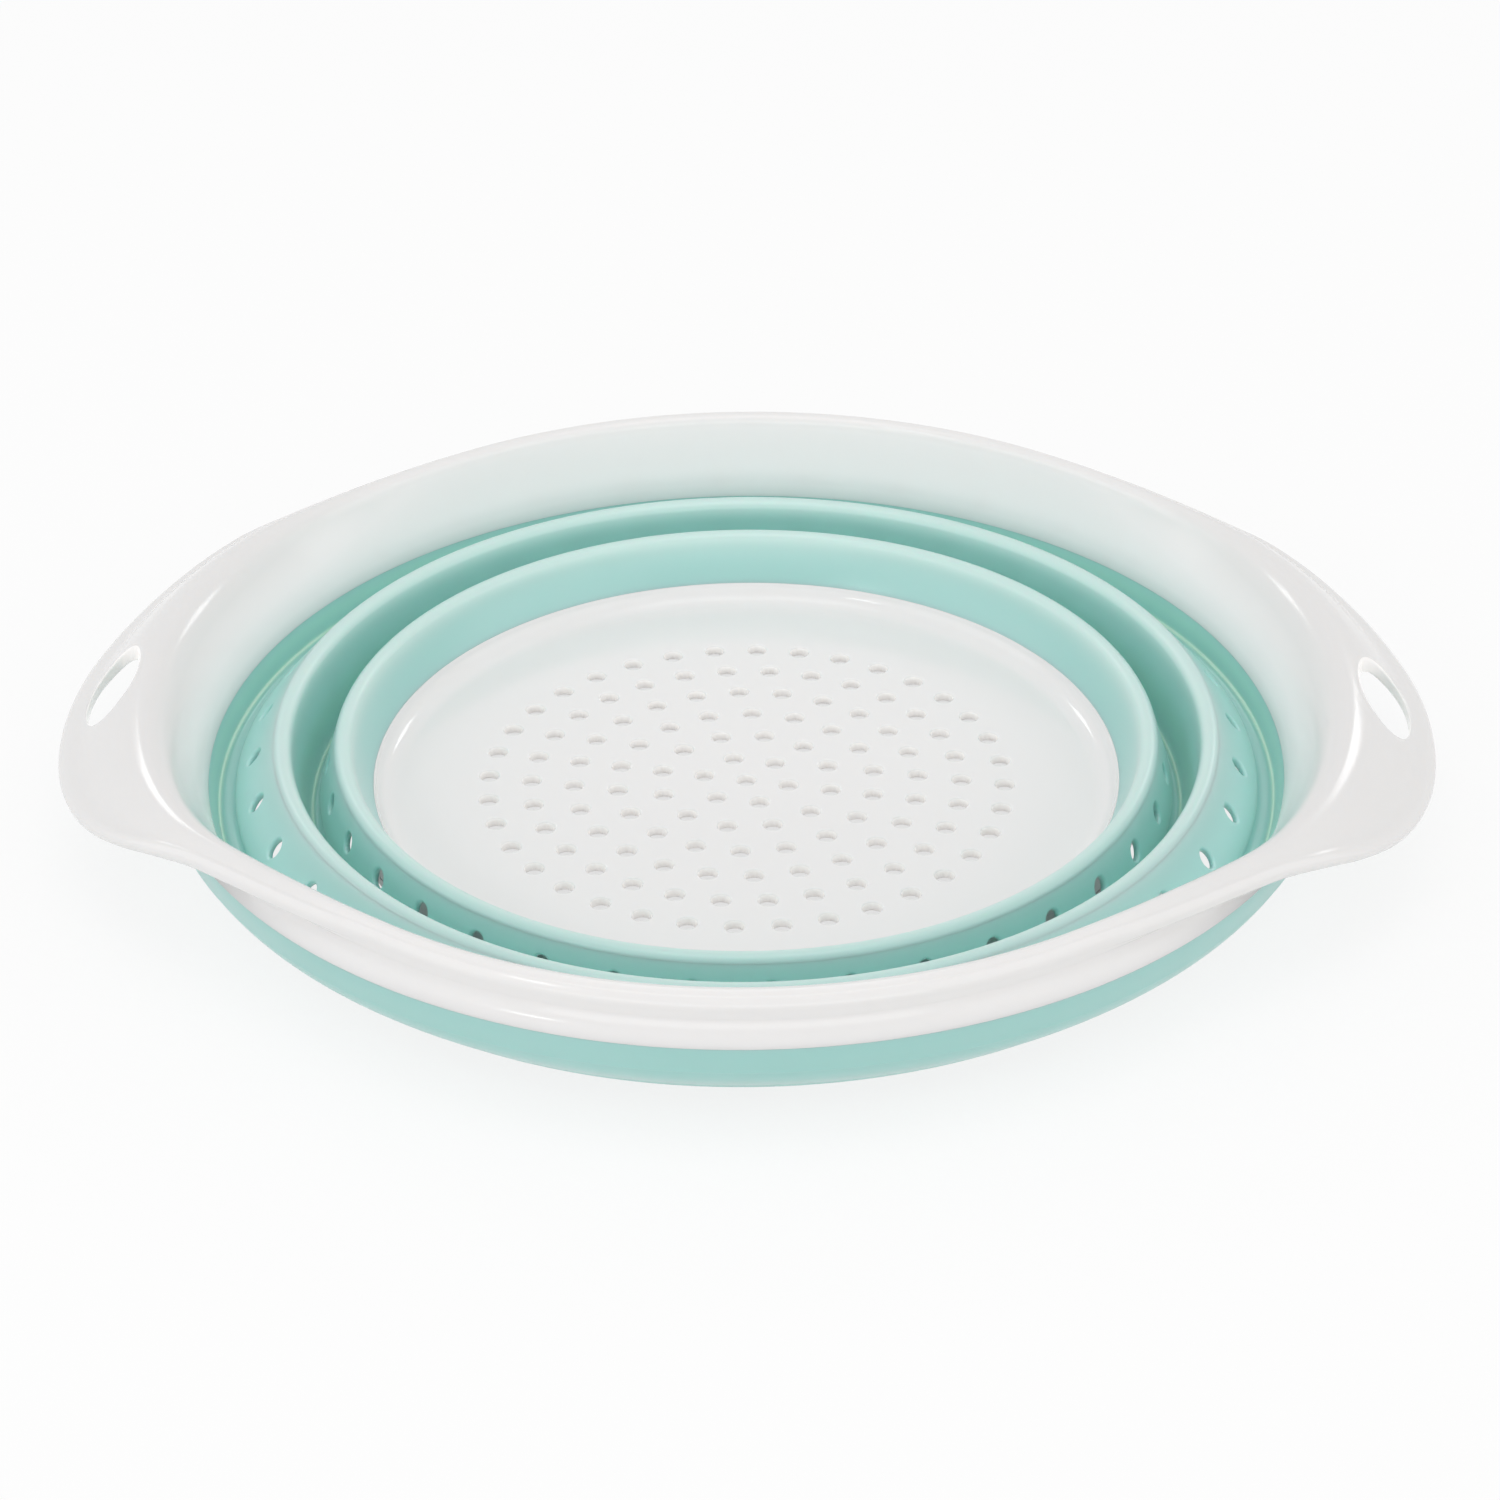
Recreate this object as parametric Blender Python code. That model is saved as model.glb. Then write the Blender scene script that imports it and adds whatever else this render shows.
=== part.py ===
# A collapsible colander, folded flat.
# White hard-plastic rim with two ears, a soft folding wall in five bands,
# and a white perforated base that stands on a foot ring.
# Lengths are in metres. +X runs from the centre to an ear, +Z is up,
# and the origin is the centre of the foot ring's underside.

import math

import bmesh
import bpy
import numpy as np
from mathutils import Matrix, Vector

# Base: strainer plate, turned-up edge, ledge for the wall and foot ring.
# Each radius outside the plate is the one before it plus a named run,
# so the whole colander follows when one of its rings gets wider

PLATE_FLAT_RADIUS = 0.0800
PLATE_TOP_HEIGHT = 0.0050
PLATE_THICKNESS = 0.0024
EDGE_RUN = 0.0060
EDGE_RISE = 0.0042
EDGE_RUN_SHARES = (0.53, 0.87)
EDGE_RISE_SHARES = (0.14, 0.52)
UPSTAND_WIDTH = 0.0022
UPSTAND_TAPER = 0.0004
LEDGE_DEPTH = 0.0004
LEDGE_RUN = 0.0024
FOOT_INSET = 0.0030
FOOT_WIDTH = 0.0024
FOOT_TAPER = 0.0002

PLATE_EDGE_RADIUS = PLATE_FLAT_RADIUS + EDGE_RUN
PLATE_EDGE_HEIGHT = PLATE_TOP_HEIGHT + EDGE_RISE
UPSTAND_TOP_RADIUS = PLATE_EDGE_RADIUS + UPSTAND_WIDTH
UPSTAND_FOOT_RADIUS = UPSTAND_TOP_RADIUS + UPSTAND_TAPER
LEDGE_HEIGHT = PLATE_TOP_HEIGHT - LEDGE_DEPTH
LEDGE_RADIUS = UPSTAND_FOOT_RADIUS + LEDGE_RUN
FOOT_OUTER_RADIUS = PLATE_FLAT_RADIUS - FOOT_INSET
FOOT_INNER_RADIUS = FOOT_OUTER_RADIUS - FOOT_WIDTH

# Strainer holes: a centre hole and rings of six, twelve, eighteen and so on,
# as many as fit inside the foot ring

HOLE_SPACING = 0.0100
HOLE_DIAMETER = 0.0044
HOLE_MARGIN = 0.0080
HOLES_PER_STEP = 6
HOLE_PATTERN_TURN = math.radians(-10.7)
HOLE_SIDES = 6
HOLE_RINGS = int(
    (FOOT_INNER_RADIUS - HOLE_MARGIN - HOLE_DIAMETER / 2.0) / HOLE_SPACING)

# Folding wall: thicknesses, then ridges and hinges from the base outwards

SEAM_GAP = 0.0003
WALL_THICKNESS = 0.0022
WEB_THICKNESS = 0.0016
HINGE_THICKNESS = 0.0010
INNER_RIDGE_RUN = 0.0066
INNER_RIDGE_RISE = 0.0114
INNER_RIDGE_ROUND = 0.0022
INNER_WEB_RUN = 0.0078
INNER_HINGE_HEIGHT = 0.0034
INNER_HINGE_RUN = 0.0010
INNER_HINGE_RISE = 0.0008
MIDDLE_BAND_RUN = 0.0061
MIDDLE_BAND_RISE = 0.0191
OUTER_RIDGE_ROUND = 0.0024
OUTER_WEB_RUN = 0.0147
OUTER_HINGE_HEIGHT = 0.0084
OUTER_HINGE_RUN = 0.0021
OUTER_HINGE_RISE = 0.0009

INNER_RIDGE_RADIUS = PLATE_EDGE_RADIUS + INNER_RIDGE_RUN
INNER_RIDGE_HEIGHT = PLATE_EDGE_HEIGHT + INNER_RIDGE_RISE
INNER_HINGE_RADIUS = INNER_RIDGE_RADIUS + INNER_WEB_RUN
OUTER_RIDGE_RADIUS = INNER_HINGE_RADIUS + MIDDLE_BAND_RUN
OUTER_RIDGE_HEIGHT = INNER_HINGE_HEIGHT + MIDDLE_BAND_RISE
OUTER_HINGE_RADIUS = OUTER_RIDGE_RADIUS + OUTER_WEB_RUN

# Drain holes in the two webs

DRAIN_HOLES = 36
DRAIN_FIRST_ANGLE = math.radians(5.0)
DRAIN_LENGTH = 0.0046
DRAIN_WIDTH = 0.0032
DRAIN_SIDES = 6
OUTER_DRAIN_SHARE = 0.47
INNER_DRAIN_SHARE = 0.40

# Rim: its mouth stands outside the outer hinge, its skirt outside the mouth

MOUTH_RUN = 0.0022
MOUTH_RISE = 0.0058
RIM_WIDTH = 0.0104
SKIRT_RISE = 0.0116
LIP_RISE = 0.0106
LINER_THICKNESS = 0.0020
LINER_LEAN = 0.0004
SHOULDER_WIDTH = 0.0028
EDGE_ROUND = 0.0012

MOUTH_RADIUS = OUTER_HINGE_RADIUS + MOUTH_RUN
MOUTH_HEIGHT = OUTER_HINGE_HEIGHT + MOUTH_RISE
SKIRT_RADIUS = MOUTH_RADIUS + RIM_WIDTH
SKIRT_HEIGHT = MOUTH_HEIGHT + SKIRT_RISE
RIM_HEIGHT = SKIRT_HEIGHT + LIP_RISE

# Outer band: its outer face, as shares of the way from the mouth to the skirt
# and from the underside of the hinge to the skirt

BAND_FACE_RUN_SHARES = (0.885, 0.654, 0.317, 0.0)
BAND_FACE_RISE_SHARES = (0.641, 0.424, 0.245, 0.109)

# Rim section: places as shares of the rim's width and of its heights

LIP_CREST_SHARE = 0.394
LIP_SHOULDER_SHARE = 0.221
LIP_EDGE_SHARE = 0.567
LIP_OUTER_SHARE = 0.663
STEP_SHARE = 0.769
GROOVE_INNER_SHARE = 0.365
GROOVE_OUTER_SHARE = 0.538
FACE_LOW_SHARE = 0.261
FACE_MID_SHARE = 0.532
FACE_TOP_SHARE = 0.757
STEP_RISE_SHARE = 0.208
WALL_TOP_SHARE = 0.443
GROOVE_TOP_SHARE = 0.566
LIP_UNDER_SHARE = 0.604
LIP_EDGE_RISE_SHARE = 0.896
EAR_GROOVE_OUTER_SHARE = 0.845
EAR_GROOVE_INNER_SHARE = 0.741

FACE_LOW_LEAN = 0.0006
FACE_MID_LEAN = 0.0013
FACE_TOP_LEAN = 0.0017

LIP_RADIUS = MOUTH_RADIUS + RIM_WIDTH * LIP_CREST_SHARE
LIP_SHOULDER_RADIUS = MOUTH_RADIUS + RIM_WIDTH * LIP_SHOULDER_SHARE
LIP_EDGE_RADIUS = MOUTH_RADIUS + RIM_WIDTH * LIP_EDGE_SHARE
LIP_OUTER_RADIUS = MOUTH_RADIUS + RIM_WIDTH * LIP_OUTER_SHARE
STEP_RADIUS = MOUTH_RADIUS + RIM_WIDTH * STEP_SHARE
GROOVE_INNER_RADIUS = MOUTH_RADIUS + RIM_WIDTH * GROOVE_INNER_SHARE
GROOVE_OUTER_RADIUS = MOUTH_RADIUS + RIM_WIDTH * GROOVE_OUTER_SHARE
FACE_LOW_HEIGHT = MOUTH_HEIGHT + (SKIRT_RISE + LIP_RISE) * FACE_LOW_SHARE
FACE_MID_HEIGHT = MOUTH_HEIGHT + (SKIRT_RISE + LIP_RISE) * FACE_MID_SHARE
FACE_TOP_HEIGHT = MOUTH_HEIGHT + (SKIRT_RISE + LIP_RISE) * FACE_TOP_SHARE
STEP_HEIGHT = SKIRT_HEIGHT + LIP_RISE * STEP_RISE_SHARE
WALL_TOP_HEIGHT = SKIRT_HEIGHT + LIP_RISE * WALL_TOP_SHARE
GROOVE_TOP_HEIGHT = SKIRT_HEIGHT + LIP_RISE * GROOVE_TOP_SHARE
LIP_UNDER_HEIGHT = SKIRT_HEIGHT + LIP_RISE * LIP_UNDER_SHARE
LIP_EDGE_HEIGHT = SKIRT_HEIGHT + LIP_RISE * LIP_EDGE_RISE_SHARE
EAR_GROOVE_OUTER_HEIGHT = MOUTH_HEIGHT + SKIRT_RISE * EAR_GROOVE_OUTER_SHARE
EAR_GROOVE_INNER_HEIGHT = MOUTH_HEIGHT + SKIRT_RISE * EAR_GROOVE_INNER_SHARE

# Ears: the rim's inner face leans out to a crest, and the blade falls from it

EAR_REACH = 0.0235
EAR_TIP_DROP = 0.0146
EAR_THICKNESS = 0.0027
EAR_CREST_RUN = 0.0128
EAR_CREST_DROP = 0.0021
EAR_SHOULDER_RUN = 0.0099
EAR_SHOULDER_DROP = 0.0011
EAR_WALL_RUN = 0.0005
EAR_WALL_DROP = 0.0041
EAR_FACE_LOW_LEAN = 0.0016
EAR_FACE_MID_LEAN = 0.0042
EAR_FACE_TOP_LEAN = 0.0076

EAR_TIP_RADIUS = SKIRT_RADIUS + EAR_REACH
EAR_TIP_HEIGHT = RIM_HEIGHT - EAR_TIP_DROP
EAR_CREST_RADIUS = MOUTH_RADIUS + EAR_CREST_RUN
EAR_CREST_HEIGHT = RIM_HEIGHT - EAR_CREST_DROP
EAR_SHOULDER_RADIUS = MOUTH_RADIUS + EAR_SHOULDER_RUN
EAR_SHOULDER_HEIGHT = EAR_CREST_HEIGHT - EAR_SHOULDER_DROP
EAR_WALL_RADIUS = SKIRT_RADIUS + EAR_WALL_RUN
EAR_WALL_HEIGHT = EAR_CREST_HEIGHT - EAR_WALL_DROP

# How far the ears reach and droop round the rim, by angle from the X axis

EAR_ANGLES = (0.0, 12.0, 20.0, 25.0, 29.0, 33.0, 38.0, 44.0, 50.0, 56.0)
REACH_SHARES = (1.0, 0.95, 0.82, 0.67, 0.51, 0.34, 0.21, 0.11, 0.04, 0.0)
DROOP_SHARES = (1.0, 0.96, 0.74, 0.50, 0.30, 0.18, 0.11, 0.06, 0.03, 0.0)
CREST_SHARES = (1.0, 1.0, 0.98, 0.93, 0.84, 0.68, 0.42, 0.18, 0.05, 0.0)
BLADE_RUN_SHARES = (0.26, 0.52, 0.78)
BLADE_DROP_SHARES = (0.10, 0.41, 0.80)
UNDER_RUN_SHARES = (0.75, 0.45, 0.16)
UNDER_RISE_SHARES = (0.28, 0.80, 1.0)

# Hang hole in each ear, between the ear's root and a border along its edge

HANG_HOLE_LENGTH = 0.0340
HANG_HOLE_SETBACK = 0.0055
HANG_HOLE_BORDER = 0.0057
HANG_HOLE_SIDES = 24
CUT_OVERRUN = 0.0060

HANG_HOLE_INNER_RADIUS = EAR_WALL_RADIUS + HANG_HOLE_SETBACK
HANG_HOLE_OUTER_RADIUS = EAR_TIP_RADIUS - HANG_HOLE_BORDER

# Facets round the rings

SEGMENTS = 72
FACET_ANGLE = 2.0 * math.pi / SEGMENTS
FACET_TURN = FACET_ANGLE / 2.0
RIDGE_STEPS = 4
MERGE_DISTANCE = 0.00001
SHARP_ANGLE = math.radians(32.0)

# Colours and surfaces

WHITE_COLOUR = (0.84, 0.84, 0.83, 1.0)
WHITE_ROUGHNESS = 0.22
MINT_COLOUR = (0.36, 0.64, 0.57, 1.0)
MINT_ROUGHNESS = 0.38
PLASTIC_METALLIC = 0.0


def clear_scene():
    for old in list(bpy.data.objects):
        bpy.data.objects.remove(old, do_unlink=True)


def make_material(name, colour, roughness):
    material = bpy.data.materials.new(name)
    material.use_nodes = True
    surface = material.node_tree.nodes["Principled BSDF"]
    surface.inputs["Base Color"].default_value = colour
    surface.inputs["Roughness"].default_value = roughness
    surface.inputs["Metallic"].default_value = PLASTIC_METALLIC
    material.diffuse_color = colour
    return material


def mix(start, end, share):
    return start + (end - start) * share


def smooth_share(angle, shares):
    # The share at an angle from the nearer end of the X axis,
    # eased between the hand-chosen ones so that the ear has no corners
    turned = math.degrees(abs(math.asin(math.sin(angle))))
    if turned >= EAR_ANGLES[-1]:
        return shares[-1]
    low = max(i for i, a in enumerate(EAR_ANGLES) if a <= turned)
    slopes = np.gradient(np.array(shares), np.array(EAR_ANGLES))
    slopes[0] = 0.0
    slopes[-1] = 0.0
    span = EAR_ANGLES[low + 1] - EAR_ANGLES[low]
    part = (turned - EAR_ANGLES[low]) / span
    start_weight = 2.0 * part ** 3 - 3.0 * part ** 2 + 1.0
    end_weight = 1.0 - start_weight
    leave_weight = part ** 3 - 2.0 * part ** 2 + part
    arrive_weight = part ** 3 - part ** 2
    value = start_weight * shares[low] + end_weight * shares[low + 1]
    value += leave_weight * span * slopes[low]
    value += arrive_weight * span * slopes[low + 1]
    return min(1.0, max(0.0, float(value)))


def groove_share(angle):
    # The groove drops quickly as the rim's inner face begins to flare
    return 1.0 - (1.0 - smooth_share(angle, CREST_SHARES)) ** 4


def loft_round(name, section, material, split="FIXED"):
    # A ring whose closed outline may change with the angle. Its four-sided
    # faces are split one way or the other, so that mating faces match
    work = bmesh.new()
    loops = []
    for step in range(SEGMENTS):
        angle = step * FACET_ANGLE + FACET_TURN
        turn = Matrix.Rotation(angle, 3, "Z")
        loop = []
        for radius, height in section(angle):
            loop.append(work.verts.new(turn @ Vector((radius, 0.0, height))))
        loops.append(loop)
    count = len(loops[0])
    for step in range(SEGMENTS):
        here = loops[step]
        there = loops[(step + 1) % SEGMENTS]
        for i in range(count):
            j = (i + 1) % count
            work.faces.new((here[i], there[i], there[j], here[j]))
    bmesh.ops.triangulate(work, faces=work.faces, quad_method=split)
    return finish_mesh(name, work, material)


def finish_mesh(name, work, material):
    bmesh.ops.remove_doubles(work, verts=work.verts, dist=MERGE_DISTANCE)
    bmesh.ops.recalc_face_normals(work, faces=work.faces)
    mesh = bpy.data.meshes.new(name)
    work.to_mesh(mesh)
    work.free()
    mesh.shade_smooth()
    mesh.set_sharp_from_angle(angle=SHARP_ANGLE)
    if material is not None:
        mesh.materials.append(material)
    piece = bpy.data.objects.new(name, mesh)
    bpy.context.scene.collection.objects.link(piece)
    return piece


def make_cutter(name, work):
    cutter = finish_mesh(name, work, None)
    cutter.hide_render = True
    cutter.display_type = "WIRE"
    return cutter


def cut_with(piece, cutter):
    # The cut is made final, so that the edges of the holes can be sharp
    cut = piece.modifiers.new("cut", "BOOLEAN")
    cut.operation = "DIFFERENCE"
    cut.solver = "EXACT"
    cut.object = cutter
    graph = bpy.context.evaluated_depsgraph_get()
    mesh = bpy.data.meshes.new_from_object(piece.evaluated_get(graph))
    mesh.name = piece.name
    mesh.set_sharp_from_angle(angle=SHARP_ANGLE)
    piece.modifiers.clear()
    piece.data = mesh
    bpy.data.objects.remove(cutter, do_unlink=True)


def add_prism(work, centre, along, across, axis, length, width, depth, sides):
    # An oval bar: length along one axis, width across it, depth through it
    rings = []
    for end in (-0.5, 0.5):
        ring = []
        for i in range(sides):
            angle = 2.0 * math.pi * (i + 0.5) / sides
            spot = centre + along * (math.cos(angle) * length / 2.0)
            spot = spot + across * (math.sin(angle) * width / 2.0)
            ring.append(work.verts.new(spot + axis * (depth * end)))
        rings.append(ring)
    low, high = rings
    work.faces.new(list(reversed(low)))
    work.faces.new(high)
    for i in range(sides):
        j = (i + 1) % sides
        work.faces.new((low[i], low[j], high[j], high[i]))


def web_frame(ridge_radius, ridge_height, ridge_round, end):
    # A web leaves the round of its ridge smoothly and runs straight to its end:
    # the ridge's centre, the run, the outward face direction, the leaving point
    # and the length
    centre = Vector((ridge_radius, ridge_height - ridge_round))
    reach = end - centre
    turn = math.atan2(reach.y, reach.x) + math.acos(ridge_round / reach.length)
    face = Vector((math.cos(turn), math.sin(turn)))
    run = Vector((face.y, -face.x))
    leave = centre + face * ridge_round
    return centre, run, face, leave, (end - leave).length


INNER_FRAME = web_frame(
    INNER_RIDGE_RADIUS, INNER_RIDGE_HEIGHT, INNER_RIDGE_ROUND,
    Vector((INNER_HINGE_RADIUS - INNER_HINGE_RUN,
            INNER_HINGE_HEIGHT + INNER_HINGE_RISE)))
OUTER_FRAME = web_frame(
    OUTER_RIDGE_RADIUS, OUTER_RIDGE_HEIGHT, OUTER_RIDGE_ROUND,
    Vector((OUTER_HINGE_RADIUS - OUTER_HINGE_RUN,
            OUTER_HINGE_HEIGHT + OUTER_HINGE_RISE)))


def ridge_outline(frame, ridge_round, first_angle):
    # The rounded top of a ridge, ending in the cut that faces its web
    centre, run, face, leave, length = frame
    last_angle = math.atan2(face.y, face.x)
    points = []
    for step in range(RIDGE_STEPS + 1):
        angle = mix(first_angle, last_angle, step / RIDGE_STEPS)
        reach = Vector((math.cos(angle), math.sin(angle)))
        points.append(tuple(centre + reach * ridge_round))
    points.append(tuple(leave - face * WEB_THICKNESS))
    return points


def web_outline(frame):
    centre, run, face, leave, length = frame
    top = leave + run * SEAM_GAP
    bottom = leave + run * (length - SEAM_GAP)
    depth = face * WEB_THICKNESS
    return [tuple(top), tuple(bottom), tuple(bottom - depth), tuple(top - depth)]


def hinge_end(frame):
    # The two corners of the hinge lip that meet the web's lower end
    centre, run, face, leave, length = frame
    upper = leave + run * length
    lower = upper - face * WEB_THICKNESS
    return upper, lower


def base_outline():
    underside = PLATE_TOP_HEIGHT - PLATE_THICKNESS
    points = [(PLATE_FLAT_RADIUS, PLATE_TOP_HEIGHT)]
    for run, rise in zip(EDGE_RUN_SHARES, EDGE_RISE_SHARES):
        points.append((
            PLATE_FLAT_RADIUS + EDGE_RUN * run,
            PLATE_TOP_HEIGHT + EDGE_RISE * rise))
    points += [
        (PLATE_EDGE_RADIUS, PLATE_EDGE_HEIGHT),
        (UPSTAND_TOP_RADIUS, PLATE_EDGE_HEIGHT),
        (UPSTAND_FOOT_RADIUS, LEDGE_HEIGHT),
        (LEDGE_RADIUS, LEDGE_HEIGHT),
        (LEDGE_RADIUS, underside),
        (FOOT_OUTER_RADIUS, underside),
        (FOOT_OUTER_RADIUS - FOOT_TAPER, 0.0),
        (FOOT_INNER_RADIUS + FOOT_TAPER, 0.0),
        (FOOT_INNER_RADIUS, underside),
    ]
    return points


def make_base(material):
    # The outline is spun round, and each flat inside it is one filled face
    work = bmesh.new()
    turn = Matrix.Rotation(FACET_TURN, 3, "Z")
    points = base_outline()
    corners = [work.verts.new(turn @ Vector((r, 0.0, z))) for r, z in points]
    edges = [work.edges.new(pair) for pair in zip(corners, corners[1:])]
    bmesh.ops.spin(
        work, geom=corners + edges, cent=(0.0, 0.0, 0.0), axis=(0.0, 0.0, 1.0),
        angle=2.0 * math.pi, steps=SEGMENTS, use_duplicate=False)
    bmesh.ops.remove_doubles(work, verts=work.verts, dist=MERGE_DISTANCE)
    open_edges = [e for e in work.edges if len(e.link_faces) == 1]
    bmesh.ops.holes_fill(work, edges=open_edges, sides=SEGMENTS)
    return finish_mesh("base_strainer", work, material)


def make_strainer_cutter():
    work = bmesh.new()
    spots = [Vector((0.0, 0.0, 0.0))]
    for ring in range(1, HOLE_RINGS + 1):
        count = HOLES_PER_STEP * ring
        for i in range(count):
            angle = HOLE_PATTERN_TURN + 2.0 * math.pi * i / count
            reach = Vector((math.cos(angle), math.sin(angle), 0.0))
            spots.append(reach * (HOLE_SPACING * ring))
    middle = PLATE_TOP_HEIGHT - PLATE_THICKNESS / 2.0
    lift = Vector((0.0, 0.0, middle))
    depth = PLATE_THICKNESS + CUT_OVERRUN
    along, across, axis = Matrix.Identity(3).col
    for spot in spots:
        add_prism(
            work, spot + lift, along, across, axis,
            HOLE_DIAMETER, HOLE_DIAMETER, depth, HOLE_SIDES)
    return make_cutter("strainer_hole_cutter", work)


def make_drain_cutter(name, frame, share):
    # Holes square through a sloping web, each on the middle of a facet
    centre, run, face, leave, length = frame
    middle = leave + run * (length * share) - face * (WEB_THICKNESS / 2.0)
    inset = math.cos(FACET_ANGLE / 2.0)
    depth = WEB_THICKNESS + CUT_OVERRUN / 2.0
    work = bmesh.new()
    for i in range(DRAIN_HOLES):
        angle = DRAIN_FIRST_ANGLE + 2.0 * math.pi * i / DRAIN_HOLES
        turn = Matrix.Rotation(angle, 3, "Z")
        spot = turn @ Vector((middle.x * inset, 0.0, middle.y))
        around = turn @ Vector((0.0, 1.0, 0.0))
        slope = turn @ Vector((run.x, 0.0, run.y))
        axis = turn @ Vector((face.x, 0.0, face.y))
        add_prism(
            work, spot, slope, around, axis,
            DRAIN_LENGTH, DRAIN_WIDTH, depth, DRAIN_SIDES)
    return make_cutter(name, work)


def inner_wall_outline(angle):
    underside = LEDGE_HEIGHT + SEAM_GAP
    seat = PLATE_EDGE_HEIGHT + SEAM_GAP
    ridge = ridge_outline(INNER_FRAME, INNER_RIDGE_ROUND, math.radians(202.0))
    ridge_foot = INNER_RIDGE_HEIGHT - 2.0 * INNER_RIDGE_ROUND
    points = [(PLATE_EDGE_RADIUS + SEAM_GAP, seat)]
    points += ridge
    points += [
        (INNER_RIDGE_RADIUS, ridge_foot),
        (LEDGE_RADIUS, seat),
        (LEDGE_RADIUS, underside),
        (UPSTAND_FOOT_RADIUS + SEAM_GAP, underside),
        (UPSTAND_TOP_RADIUS + SEAM_GAP, seat),
    ]
    return points


def middle_wall_outline(angle):
    upper, lower = hinge_end(INNER_FRAME)
    ridge = ridge_outline(OUTER_FRAME, OUTER_RIDGE_ROUND, math.radians(205.0))
    ridge_foot = OUTER_RIDGE_HEIGHT - 2.0 * OUTER_RIDGE_ROUND
    hinge_under = INNER_HINGE_HEIGHT - HINGE_THICKNESS
    hinge_over = INNER_HINGE_HEIGHT + HINGE_THICKNESS
    outside = INNER_HINGE_RADIUS + HINGE_THICKNESS + WALL_THICKNESS
    points = [
        tuple(upper),
        (INNER_HINGE_RADIUS, INNER_HINGE_HEIGHT),
        (INNER_HINGE_RADIUS + HINGE_THICKNESS, hinge_over),
    ]
    points += ridge
    points += [
        (OUTER_RIDGE_RADIUS, ridge_foot),
        (outside, hinge_over),
        (INNER_HINGE_RADIUS + WALL_THICKNESS, hinge_under),
        (lower.x + SEAM_GAP, hinge_under),
        tuple(lower),
    ]
    return points


def outer_wall_outline(angle):
    upper, lower = hinge_end(OUTER_FRAME)
    drop = groove_share(angle)
    shoulder = SKIRT_HEIGHT - SEAM_GAP
    under_liner = MOUTH_HEIGHT - SEAM_GAP
    hinge_under = OUTER_HINGE_HEIGHT - HINGE_THICKNESS
    liner_back = MOUTH_RADIUS + LINER_THICKNESS + SEAM_GAP
    outer_top = mix(GROOVE_TOP_HEIGHT, EAR_GROOVE_OUTER_HEIGHT, drop) - SEAM_GAP
    inner_top = mix(GROOVE_TOP_HEIGHT, EAR_GROOVE_INNER_HEIGHT, drop) - SEAM_GAP
    points = [
        tuple(upper),
        (OUTER_HINGE_RADIUS, OUTER_HINGE_HEIGHT),
        (MOUTH_RADIUS, under_liner),
        (liner_back, under_liner),
        (liner_back + LINER_LEAN, FACE_LOW_HEIGHT),
        (GROOVE_INNER_RADIUS + SEAM_GAP, inner_top),
        (GROOVE_OUTER_RADIUS - mix(SEAM_GAP, 0.0, drop), outer_top),
        (SKIRT_RADIUS - SHOULDER_WIDTH + mix(0.0, SEAM_GAP, drop), shoulder),
        (SKIRT_RADIUS, shoulder),
    ]
    for run, rise in zip(BAND_FACE_RUN_SHARES, BAND_FACE_RISE_SHARES):
        points.append((
            mix(MOUTH_RADIUS, SKIRT_RADIUS, run),
            mix(hinge_under, SKIRT_HEIGHT, rise)))
    points += [
        (OUTER_HINGE_RADIUS, hinge_under),
        (lower.x + HINGE_THICKNESS, hinge_under),
        tuple(lower),
    ]
    return points


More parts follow.
